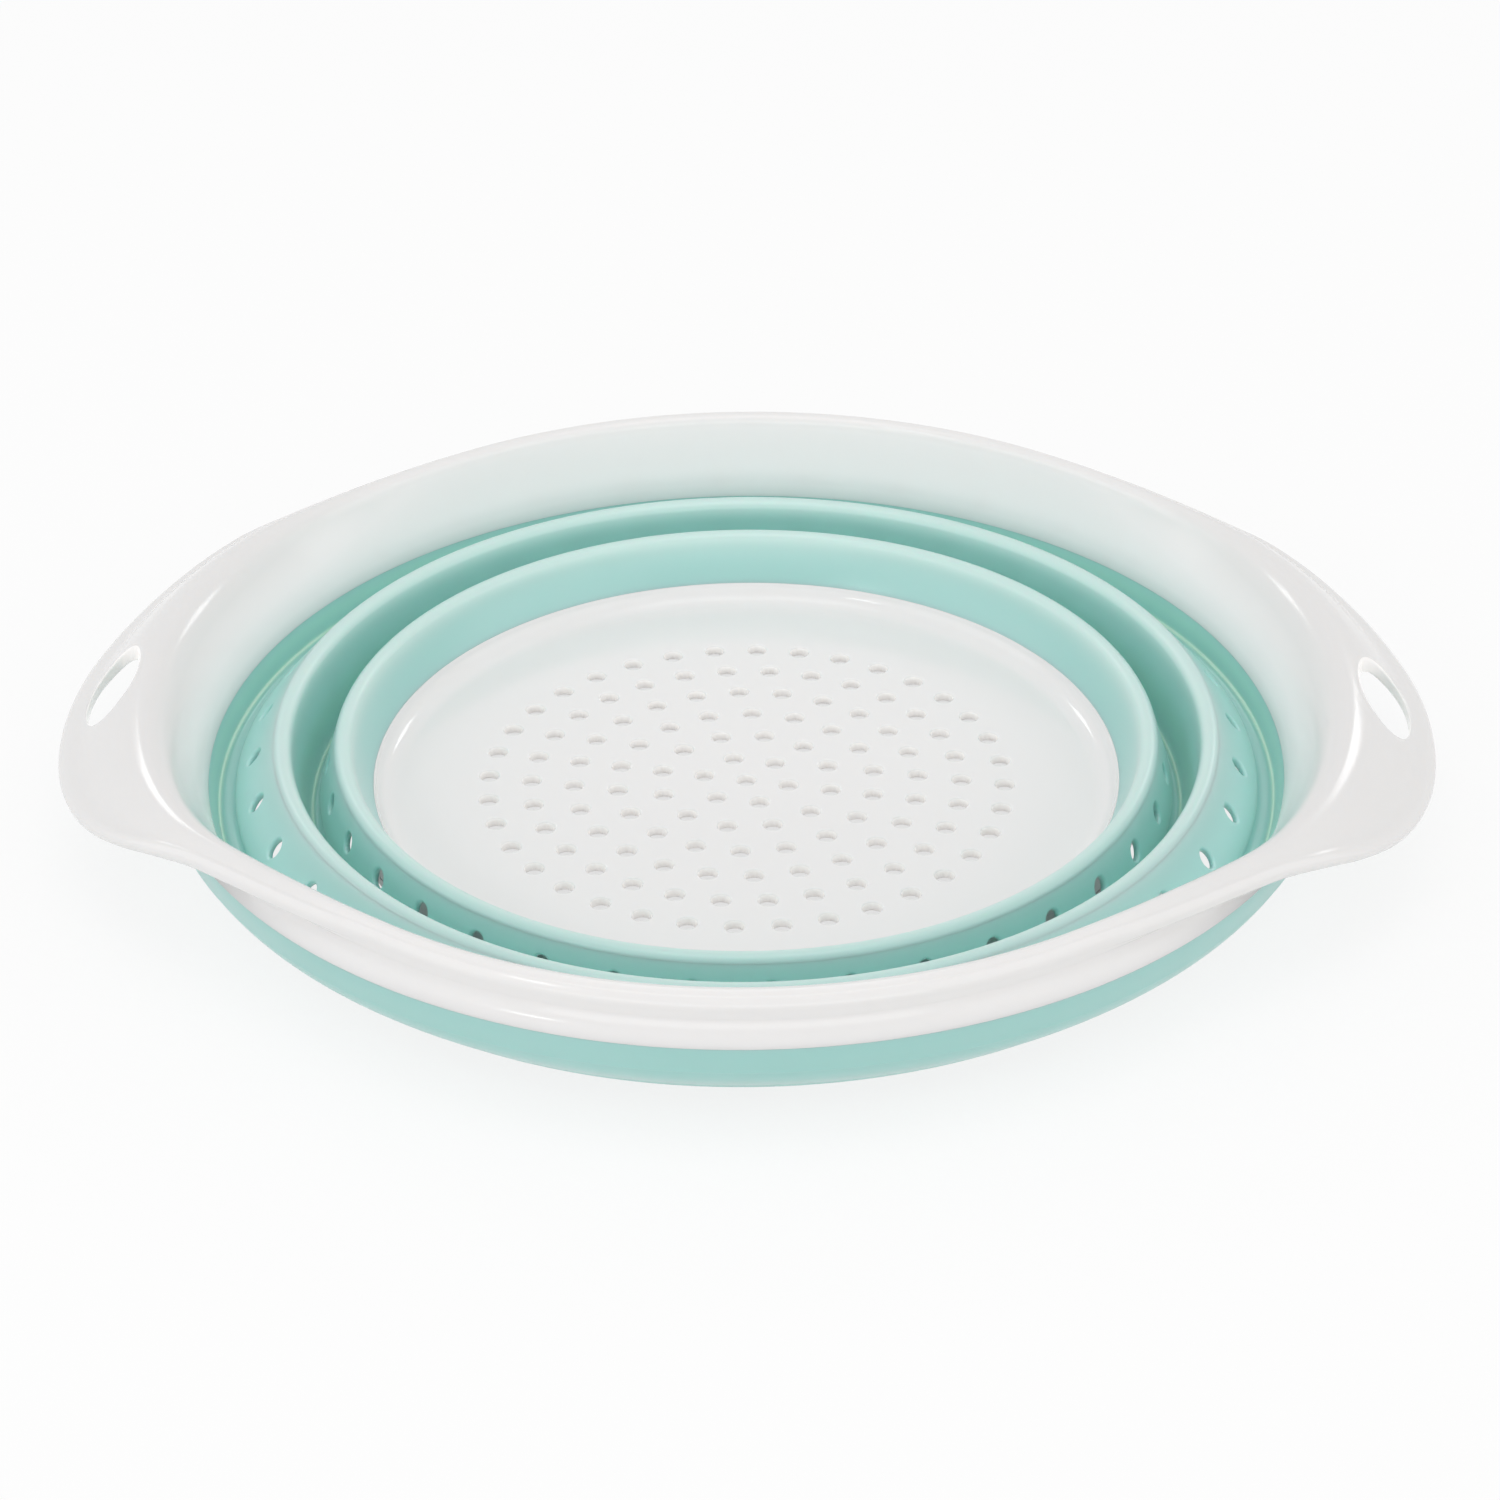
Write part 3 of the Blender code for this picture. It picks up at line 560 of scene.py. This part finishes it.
innerFold = {
    "name": "innerWeb",
    "ridge": (92.6, 18.4),  # centre of the ridge's rounding
    "round": 2.2,
    "webEnd": (99.4, 4.2),  # where the web points to
    "holeShare": 0.40,  # place of the drain holes' centres on the way there
    "straight": 12.4,
    "lip": [(12.9, 0.06), (13.4, 0.26), (13.8, 0.6), (14.0, 1.0)],  # along and depth
    "back": [(13.7, 2.2), (12.9, 1.9)],
}
outerFold = {
    "name": "outerWeb",
    "ridge": (106.5, 20.1),
    "round": 2.4,
    "webEnd": (119.1, 9.3),
    "holeShare": 0.46,
    "straight": 13.2,
    "lip": [(13.8, 0.06), (14.4, 0.26), (14.9, 0.62), (15.2, 1.15)],
    "back": [(14.9, 2.4), (13.9, 1.95)],
}
drain = {
    "count": 36,
    "firstTurn": 5.0,
    "thickness": 1.6,
    "alongRadius": 2.3,
    "acrossRadius": 1.9,
    "topRound": 0.75,
    "underRound": 0.4,
    "flatBand": 0.25,  # level face just outside the rounded edge
    "roundSteps": 5,
    "sideSteps": 12,
    "outSteps": 5,
}


class Web:
    # Places on a web, by distance along its face and depth below it, in mm
    def __init__(self, fold):
        centre = Vector(fold["ridge"])
        end = Vector(fold["webEnd"])
        reach = end - centre
        turn = math.atan2(reach.y, reach.x) + math.acos(fold["round"] / reach.length)
        self.turn = math.degrees(turn)
        self.face = Vector((math.cos(turn), math.sin(turn)))
        self.run = Vector((self.face.y, -self.face.x))
        self.leave = centre + self.face * fold["round"]
        self.length = (end - self.leave).length

    def at(self, along, depth=0.0):
        return self.leave + self.run * along - self.face * depth


innerWeb = Web(innerFold)
outerWeb = Web(outerFold)


def drainCell(web, fold):
    # The part of a web round one hole, with its face, its back and both ends
    side = drain["sideSteps"]
    half = math.radians(180 / drain["count"])
    middleAlong = web.length * fold["holeShare"]
    middleRadius = web.at(middleAlong).x
    width = half * middleRadius
    top, bottom = -middleAlong, fold["straight"] - middleAlong
    steps = np.linspace(0, 1, side, endpoint=False)
    frameEdge = [(-width + 2 * width * s, top) for s in steps]
    frameEdge += [(width, top + (bottom - top) * s) for s in steps]
    frameEdge += [(width - 2 * width * s, bottom) for s in steps]
    frameEdge += [(-width, bottom - (bottom - top) * s) for s in steps]
    work = bmesh.new()

    def corner(across, along, depth):
        # across is measured on the face at the hole's own radius
        spot = web.at(along + middleAlong, depth)
        turn = across / middleRadius
        return work.verts.new(Vector((
            spot.x * math.cos(turn), spot.x * math.sin(turn), spot.y)) * mm)

    def sheet(depth, inwards, edgeRound):
        # Rings of corners from the hole's throat out to the cell's frame
        rings = []
        for i in range(drain["roundSteps"] + 1):
            lift = math.radians(90 * (1 - i / drain["roundSteps"]))
            rings.append((edgeRound * (1 - math.sin(lift)),
                          edgeRound * (1 - math.cos(lift)), 0.0))
        rings += [(edgeRound + drain["flatBand"], 0.0, i / drain["outSteps"])
                  for i in range(drain["outSteps"] + 1)]
        loops = []
        for grow, drop, share in rings:
            loop = []
            for x, y in frameEdge:
                turn = math.atan2(y, x)
                holeX = (drain["acrossRadius"] + grow) * math.cos(turn)
                holeY = (drain["alongRadius"] + grow) * math.sin(turn)
                loop.append(corner(holeX + (x - holeX) * share,
                                   holeY + (y - holeY) * share,
                                   depth + inwards * drop))
            loops.append(loop)
        return loops

    upper = sheet(0.0, 1.0, drain["topRound"])
    under = sheet(drain["thickness"], -1.0, drain["underRound"])
    for loops in (upper, under):
        for first, second in zip(loops, loops[1:]):
            joinRows(work, first, second)
    joinRows(work, upper[0], under[0])
    across = np.linspace(-width, width, side + 1)

    def row(along, depth):
        return [corner(x, along - middleAlong, depth) for x in across]

    rows = [row(fold["straight"], 0.0)]
    rows += [row(*spot) for spot in fold["lip"] + fold["back"]]
    rows.append(row(fold["straight"], drain["thickness"]))
    for first, second in zip(rows, rows[1:]):
        joinRows(work, first, second, closed=False)
    joinRows(work, row(0.0, 0.0), row(0.0, drain["thickness"]), closed=False)
    mesh = bpy.data.meshes.new(fold["name"])
    work.to_mesh(mesh)
    work.free()
    return mesh


webInputs = {
    "Cells": drain["count"], "First Turn": math.radians(drain["firstTurn"]),
    "Join Distance": 0.003 * mm, "Finish": mint}


def makeWebTree():
    # Repeats one cell round the ring and joins the copies
    group, tree, given = geometryTree("drainWeb", webInputs)
    cells = given.other("Cells")
    points = tree.add("GeometryNodePoints", None, {"Count": cells})
    index = tree.add("GeometryNodeInputIndex")
    turn = index * (2 * math.pi) / cells + given.other("First Turn")
    rotation = tree.add("ShaderNodeCombineXYZ", None, {2: turn})
    copies = tree.add("GeometryNodeInstanceOnPoints", None, {
        "Points": points, "Instance": given, "Rotation": rotation})
    solid = tree.add("GeometryNodeRealizeInstances", None, {0: copies})
    joined = tree.add("GeometryNodeMergeByDistance", None, {
        "Geometry": solid, "Distance": given.other("Join Distance")})
    done = tree.add("GeometryNodeSetMaterial", None, {
        "Geometry": joined, "Material": given.other("Finish")})
    tree.add("NodeGroupOutput", None, {0: done})
    return group


webTree = makeWebTree()


def makeWeb(web, fold, node):
    piece = addPiece(fold["name"], drainCell(web, fold))
    runTree(piece, webTree, webInputs)
    tidyMesh(piece.data)
    endSpot = web.at(*fold["lip"][-1])
    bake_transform(piece)
    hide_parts(node)


makeWeb(innerWeb, innerFold, "inner_fold_web")
makeWeb(outerWeb, outerFold, "outer_fold_web")
print("fold webs made")


# Stiff bands of the wall, listed from the bowl's side over the ridge to the hidden side

innerBand = {
    "foot": (86.12, 9.14),
    "face": [(87.2, 10.9), (88.5, 13.5), (89.65, 16.3)],
    "roundFrom": 166.0,  # degrees at which the ridge's rounding starts
    "hidden": [(92.6, 16.2), (91.2, 9.6), (91.0, 4.9), (88.9, 4.9), (88.5, 9.5)],
}
middleBand = {
    "trough": [(98.2, 4.4), (98.9, 3.65), (99.7, 3.5), (100.05, 3.8), (100.35, 4.05),
               (100.7, 4.0), (101.15, 4.5)],
    "face": [(101.9, 7.0), (102.9, 12.0), (103.7, 16.0)],
    "roundFrom": 168.0,
    "hidden": [(106.5, 17.7), (103.8, 5.0), (102.9, 3.0), (101.5, 2.3), (98.4, 2.3),
               (97.1, 3.4)],
}
outerBand = {
    "trough": [(117.5, 8.5), (118.4, 7.9), (119.6, 7.85), (120.5, 8.25), (120.95, 8.75),
               (121.25, 9.0), (121.6, 9.1)],
    "face": [(122.1, 10.2), (122.8, 12.1), (123.4, 14.17)],
    "hidden": [(125.3, 14.1), (125.9, 20.0), (127.4, 22.2), (129.4, 22.7),
               (131.3, 25.7)],
    "skirt": [(133.63, 25.78), (133.5, 23.6), (132.8, 19.7)],
    "mouldLine": [(132.78, 19.35), (132.62, 19.2), (132.42, 19.2)],
    "under": [(131.7, 17.4), (130.2, 15.2), (126.7, 11.9), (123.4, 9.4), (121.6, 7.5),
              (120.0, 6.9), (118.2, 6.9), (116.9, 7.6)],
}


def ridgeRound(band, fold, web):
    steps = 9
    return arcPoints(fold["ridge"], fold["round"], band["roundFrom"], web.turn, steps)


def webEnds(fold, web):
    # Where a web's lower end meets the next band, on its face and on its back
    return tuple(web.at(*fold["lip"][-1])), tuple(web.at(*fold["back"][0]))


def webBack(web):
    # Where a web's back meets the band that it hangs from
    return tuple(web.at(0, drain["thickness"]))


def placeBand(name, points, node, body):
    piece = spinOutline(name, points, mint)
    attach(piece, body)
    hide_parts(node)


def makeInnerBand():
    crest = ridgeRound(innerBand, innerFold, innerWeb)
    rise = smoothPath([innerBand["foot"]] + innerBand["face"] + crest)
    points = rise + [webBack(innerWeb)] + innerBand["hidden"]
    placeBand("innerBand", points, "inner_wall_band", "base")


def makeMiddleBand():
    start, back = webEnds(innerFold, innerWeb)
    crest = ridgeRound(middleBand, outerFold, outerWeb)
    rise = smoothPath([start] + middleBand["trough"] + middleBand["face"] + crest)
    points = rise + [webBack(outerWeb)] + middleBand["hidden"] + [back]
    placeBand("middleBand", points, "middle_wall_band", "middle")


def makeOuterBand():
    start, back = webEnds(outerFold, outerWeb)
    rise = smoothPath([start] + outerBand["trough"] + outerBand["face"])
    outside = smoothPath(outerBand["skirt"]) + outerBand["mouldLine"]
    under = smoothPath([outerBand["mouldLine"][-1]] + outerBand["under"] + [back])
    points = rise + outerBand["hidden"] + outside + under[1:]
    placeBand("outerBand", points, "outer_wall_band", "rim")


makeInnerBand()
makeMiddleBand()
makeOuterBand()
print("wall bands made")


# Base: perforated plate, turned-up edge and foot ring

plate = {
    "Hole Count": 127,
    "Ring Spacing": 10.0 * mm,
    "Pattern Turn": math.radians(-10.7),
    "Bore Radius": 2.2 * mm,
    "Mouth Radius": 3.1 * mm,
    "Back Mouth Radius": 2.8 * mm,
    "Hole Sides": 28,
    "Top Radius": 80.0 * mm,
    "Top Height": 5.0 * mm,
    "Back Radius": 74.0 * mm,
    "Back Height": 2.6 * mm,
    "Columns": columns,
    "Finish": white["baseWhite"],
}
throat = {
    "flatBand": 0.3,  # level face just outside the hole's rounded mouth
    "backFlatBand": 0.2,
    "mouthSteps": 6,
    "backSteps": 5,
}
plateEdge = {
    "rise": [(80.0, 5.0), (80.6, 5.0), (81.8, 5.13), (83.3, 5.6), (84.6, 6.5),
             (85.5, 7.8), (85.9, 9.0)],
    "brim": [(86.0, 9.17), (86.15, 9.2), (88.2, 9.2), (88.6, 4.6), (91.0, 4.6),
             (91.0, 2.6), (77.2, 2.6), (77.0, 2.4), (76.85, 0.3), (76.6, 0.0),
             (75.0, 0.0), (74.75, 0.3), (74.6, 2.4), (74.4, 2.6), (74.0, 2.6)],
}


def throatOutline():
    # The lining of one hole, from its mouth in the plate to its back mouth
    bore = plate["Bore Radius"] / mm
    flare = plate["Mouth Radius"] / mm - bore - throat["flatBand"]
    back = plate["Back Mouth Radius"] / mm - bore - throat["backFlatBand"]
    high, low = plate["Top Height"] / mm, plate["Back Height"] / mm
    points = [(plate["Mouth Radius"] / mm, high)]
    points += arcPoints((bore + flare, high - flare), flare, 90, 180, throat["mouthSteps"])
    points += arcPoints((bore + back, low + back), back, 180, 270, throat["backSteps"])
    return points + [(plate["Back Mouth Radius"] / mm, low)]


def makePlateTree():
    # Ring n holds six times n holes, and the index of its first is 3 n (n - 1) + 1
    group, tree, given = geometryTree("perforatedPlate", plate)
    slack = 0.0001  # keeps that first hole in its ring when the root rounds down
    index = tree.add("GeometryNodeInputIndex")
    root = combine("SQRT", combine("MAXIMUM", (index - 1) * 12 + 9, 0.0))
    ring = combine("FLOOR", (root + 3) / 6 + slack)
    first = ring * (ring - 1) * 3 + 1
    turn = (index - first) / (ring * 6) * (2 * math.pi) + given.other("Pattern Turn")
    reach = ring * given.other("Ring Spacing")
    place = tree.add("ShaderNodeCombineXYZ", None, {
        0: reach * combine("COSINE", turn), 1: reach * combine("SINE", turn)})
    points = tree.add("GeometryNodePoints", None, {
        "Count": given.other("Hole Count"), "Position": place})

    def circle(radius, sides):
        return tree.add("GeometryNodeCurvePrimitiveCircle", {"mode": "RADIUS"}, {
            "Resolution": given.other(sides), "Radius": given.other(radius)})

    def onPoints(shape):
        copies = tree.add("GeometryNodeInstanceOnPoints", None, {
            "Points": points, "Instance": shape})
        return tree.add("GeometryNodeRealizeInstances", None, {0: copies})

    def join(*parts):
        node = tree.add("GeometryNodeJoinGeometry")
        for part in parts:
            tree.links.new(part.link, node.link.node.inputs[0])
        return node

    def sheet(mouth, edge, height):
        # A disc with round openings, filled between its circles
        circles = join(onPoints(circle(mouth, "Hole Sides")), circle(edge, "Columns"))
        filled = tree.add("GeometryNodeFillCurve", {"mode": "TRIANGLES"}, {0: circles})
        lift = tree.add("ShaderNodeCombineXYZ", None, {2: given.other(height)})
        return tree.add("GeometryNodeTransform", None, {
            0: filled, "Translation": lift})

    outline = tree.add("GeometryNodeMeshToCurve", None, {0: given})
    outline = tree.add("GeometryNodeTransform", None, {
        0: outline, "Rotation": (math.radians(90), 0, 0)})
    lining = tree.add("GeometryNodeCurveToMesh", None, {
        0: circle("Bore Radius", "Hole Sides"), 1: outline})
    whole = join(onPoints(lining), sheet("Mouth Radius", "Top Radius", "Top Height"),
                 sheet("Back Mouth Radius", "Back Radius", "Back Height"))
    whole = tree.add("GeometryNodeRealizeInstances", None, {0: whole})
    done = tree.add("GeometryNodeSetMaterial", None, {
        "Geometry": whole, "Material": given.other("Finish")})
    tree.add("NodeGroupOutput", None, {0: done})
    return group


def makeBase():
    bore = plate["Bore Radius"]
    lining = throatOutline()
    mesh = bpy.data.meshes.new("strainerBase")
    edges = [(i, i + 1) for i in range(len(lining) - 1)]
    mesh.from_pydata([(r * mm - bore, 0, z * mm) for r, z in lining], edges, [])
    piece = addPiece("strainerBase", mesh)
    runTree(piece, makePlateTree(), plate)
    outline = smoothPath(plateEdge["rise"]) + plateEdge["brim"]
    edge = spinOutline("plateEdge", outline, white["baseWhite"], closed=False)
    work = bmesh.new()
    work.from_mesh(piece.data)
    work.from_mesh(edge.data)
    work.to_mesh(piece.data)
    work.free()
    bpy.data.objects.remove(edge)
    tidyMesh(piece.data, white["baseWhite"])
    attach(piece, "base")
    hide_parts("base_strainer")


makeBase()
print("strainer base made")


# Rim: its section changes round the ring to form the two ears

rim = {  # plain values are for the round rim, ear values for the middle of an ear
    "mouth": (123.4, 14.2),
    "faceHeights": (20.0, 26.0, 31.0),
    "faceLeans": (0.6, 1.3, 1.7),
    "earFaceLeans": (1.6, 4.2, 7.6),
    "shoulder": (125.7, 35.3),
    "earShoulder": (133.3, 33.2),
    "crest": (127.5, 36.39),
    "earCrest": (136.2, 34.3),
    "lipEdge": (129.3, 35.3),
    "earEdge": (156.1, 21.8),
    "lipSide": (130.3, 33.75),
    "earSide": (157.1, 20.45),
    "lipUnder": (130.3, 32.2),
    "earUnder": (156.1, 19.1),
    "wall": (130.3, 30.5),
    "earWall": (134.3, 30.2),
    "step": (131.4, 28.0),
    "skirt": (133.65, 25.8),
    "hidden": [(131.3, 25.8), (129.4, 22.8), (127.4, 22.3), (125.9, 20.0),
               (125.3, 14.2)],
    "counts": [4, 4, 4, 4, 5, 5, 6, 6, 6, 4, 4, 6, 6, 5, 5, 6],  # steps after each knot
    "blade": (5, 9),  # first and last knot of the ear's top, and of its underside
    "underside": (11, 14),
    "angles": (0, 12, 20, 25, 29, 33, 38, 44, 50, 56),  # degrees from the ear's middle
    "reach": (1.0, 0.95, 0.82, 0.67, 0.51, 0.34, 0.21, 0.11, 0.04, 0.0),
    "droop": (1.0, 0.96, 0.74, 0.50, 0.30, 0.18, 0.11, 0.06, 0.03, 0.0),
    "crestRise": (1.0, 1.0, 0.98, 0.93, 0.84, 0.68, 0.42, 0.18, 0.05, 0.0),
    "bladeRuns": (0.26, 0.52, 0.78),
    "bladeDrops": (0.10, 0.41, 0.80),
    "underRuns": (0.75, 0.45, 0.16),
    "underRises": (0.28, 0.80, 1.0),
}
hangHole = {
    "radius": 145.7,
    "halfLength": 15.2,
    "halfWidth": 5.8,
    "sides": 72,
    "topRound": 1.1,
    "underRound": 0.8,
    "roundSteps": 6,
    "margin": 1.6,  # cut away outside the rounded edge, and filled again
    "guard": 0.6,  # distance of a ring that keeps the filling smooth
    "slack": 0.01,  # keeps the triangles that touch the mouth
    "joinWithin": 1e-5,
    "leastCosine": 0.5,  # columns further round than this aren't near a hang hole
}


def mix(start, end, share):
    return start + (end - start) * share


def mixSpot(start, end, share, rise=None):
    return (mix(start[0], end[0], share),
            mix(start[1], end[1], share if rise is None else rise))


def easedShare(angle, shares):
    # Eased between the shares by the angle from the nearer end of the X axis
    angles = np.array(rim["angles"], float)
    turned = math.degrees(abs(math.asin(math.sin(angle))))
    if turned >= angles[-1]:
        return shares[-1]
    low = int(np.searchsorted(angles, turned, side="right")) - 1
    slopes = np.gradient(np.array(shares), angles)
    slopes[0] = slopes[-1] = 0.0
    span = angles[low + 1] - angles[low]
    part = (turned - angles[low]) / span
    ahead = part * part * (3 - 2 * part)
    value = mix(shares[low], shares[low + 1], ahead)
    value += (part ** 3 - 2 * part ** 2 + part) * span * slopes[low]
    value += (part ** 3 - part ** 2) * span * slopes[low + 1]
    return min(1.0, max(0.0, float(value)))


def rimKnots(angle):
    reach = easedShare(angle, rim["reach"])
    droop = easedShare(angle, rim["droop"])
    crest = easedShare(angle, rim["crestRise"])
    mouth = rim["mouth"][0]
    knots = [rim["mouth"]]
    for height, plain, ear in zip(
            rim["faceHeights"], rim["faceLeans"], rim["earFaceLeans"]):
        knots.append((mouth + mix(plain, ear, crest), height))
    knots.append(mixSpot(rim["shoulder"], rim["earShoulder"], crest))
    top = mixSpot(rim["crest"], rim["earCrest"], crest)
    edge = mixSpot(rim["lipEdge"], rim["earEdge"], reach, droop)
    under = mixSpot(rim["lipUnder"], rim["earUnder"], reach, droop)
    wall = mixSpot(rim["wall"], rim["earWall"], crest * reach, crest)
    knots.append(top)
    for run, drop in zip(rim["bladeRuns"], rim["bladeDrops"]):
        knots.append(mixSpot(top, edge, run, drop))
    knots.append(edge)
    side = mix(rim["lipSide"][0], rim["earSide"][0], reach)
    knots.append((side, (edge[1] + under[1]) / 2))
    knots.append(under)
    for run, rise in zip(rim["underRuns"], rim["underRises"]):
        lift = rise * mix(run, 1.0, rise)
        knots.append((mix(wall[0], under[0], run), mix(under[1], wall[1], lift)))
    knots.append((mix(rim["step"][0], wall[0], reach), rim["step"][1]))
    knots.append(rim["skirt"])
    return knots


def rimSection(angle):
    return np.array(smoothPath(rimKnots(angle), rim["counts"]))


def knotAt(knot):
    return sum(rim["counts"][:knot])


def heightOn(x, y, span):
    # The height of the blade's top or underside over a place in mm
    first, last = (knotAt(knot) for knot in span)
    part = rimSection(math.atan2(y, x))[first:last + 1]
    order = np.argsort(part[:, 0])
    return float(np.interp(math.hypot(x, y), part[order, 0], part[order, 1]))


def holeRing(side, grow):
    # A ring round the hang hole, grow mm outside its edge
    turns = np.linspace(0, 2 * math.pi, hangHole["sides"], endpoint=False)
    return [(side * (hangHole["radius"] + (hangHole["halfWidth"] + grow) * math.cos(t)),
             (hangHole["halfLength"] + grow) * math.sin(t)) for t in turns]


def insideHole(x, y, grow):
    across = (abs(x) - hangHole["radius"]) / (hangHole["halfWidth"] + grow)
    along = y / (hangHole["halfLength"] + grow)
    return across * across + along * along < 1


def cutBlade(work, loft, side, span, reach):
    # Takes away the faces near a hang hole and gives the edges that they leave open
    first, last = (knotAt(knot) for knot in span)
    gone = []
    for column in range(columns):
        if side * math.cos(2 * math.pi * column / columns) < hangHole["leastCosine"]:
            continue
        near, far = loft[column], loft[(column + 1) % columns]
        for i in range(first, last):
            ring = [near[i], far[i], far[i + 1], near[i + 1]]
            spots = [corner.co / mm for corner in ring]
            if any(insideHole(s.x, s.y, reach) for s in spots):
                gone += [f for f in ring[0].link_faces if set(ring) == set(f.verts)]
    border = {}
    for face in gone:
        for edge in face.edges:
            if border.pop(edge, None) is None:
                border[edge] = True
    bmesh.ops.delete(work, geom=gone, context="FACES")
    return list(border)


def fillBlade(work, border, guard, mouth, edgeRound):
    # Triangles between the cut's border and the hole's mouth
    outer = list(dict.fromkeys(corner for edge in border for corner in edge.verts))
    corners = outer + guard + mouth
    number = {corner: i for i, corner in enumerate(corners)}
    edges = [(number[e.verts[0]], number[e.verts[1]]) for e in border]
    for ring in (guard, mouth):
        edges += [(number[a], number[b]) for a, b in zip(ring, ring[1:] + ring[:1])]
    flat = [Vector((c.co.x, c.co.y)) / mm for c in corners]
    found = delaunay_2d_cdt(flat, edges, [], 1, hangHole["joinWithin"])
    spots, faces, sources = found[0], found[2], found[3]
    for face in faces:
        middle = sum((spots[i] for i in face), Vector((0, 0))) / len(face)
        if not insideHole(middle.x, middle.y, edgeRound - hangHole["slack"]):
            work.faces.new([corners[sources[i][0]] for i in face])


def openBlade(work, loft, side, span, edgeRound, up):
    # Cuts one face of an ear round the hang hole and rounds the hole's edge
    border = cutBlade(work, loft, side, span, edgeRound + hangHole["margin"])

    def ring(grow, drop=0.0):
        return [work.verts.new(Vector((x, y, heightOn(x, y, span) - drop)) * mm)
                for x, y in holeRing(side, grow)]

    rings = []
    for i in range(hangHole["roundSteps"] + 1):
        lift = math.radians(90 * i / hangHole["roundSteps"])
        rings.append(ring(edgeRound * (1 - math.sin(lift)),
                          edgeRound * (1 - math.cos(lift)) * up))
    guard = ring(edgeRound + hangHole["guard"])
    fillBlade(work, border, guard, rings[0], edgeRound)
    for first, second in zip(rings, rings[1:]):
        joinRows(work, first, second)
    return rings[-1]


def makeRim():
    work = bmesh.new()
    loft = []
    for column in range(columns):
        angle = 2 * math.pi * column / columns
        turn = Matrix.Rotation(angle, 3, "Z")
        points = [tuple(p) for p in rimSection(angle)] + rim["hidden"]
        loft.append([work.verts.new(turn @ Vector((r, 0, z)) * mm) for r, z in points])
    for column in range(columns):
        joinRows(work, loft[column], loft[(column + 1) % columns])
    for side in (-1, 1):
        top = openBlade(work, loft, side, rim["blade"], hangHole["topRound"], 1)
        under = openBlade(work, loft, side, rim["underside"], hangHole["underRound"], -1)
        joinRows(work, top, under)
    mesh = bpy.data.meshes.new("rimFrame")
    work.to_mesh(mesh)
    work.free()
    piece = addPiece("rimFrame", mesh)
    tidyMesh(mesh, white["rimWhite"])
    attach(piece, "rim")
    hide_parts("rim_frame")


makeRim()
print("rim made")
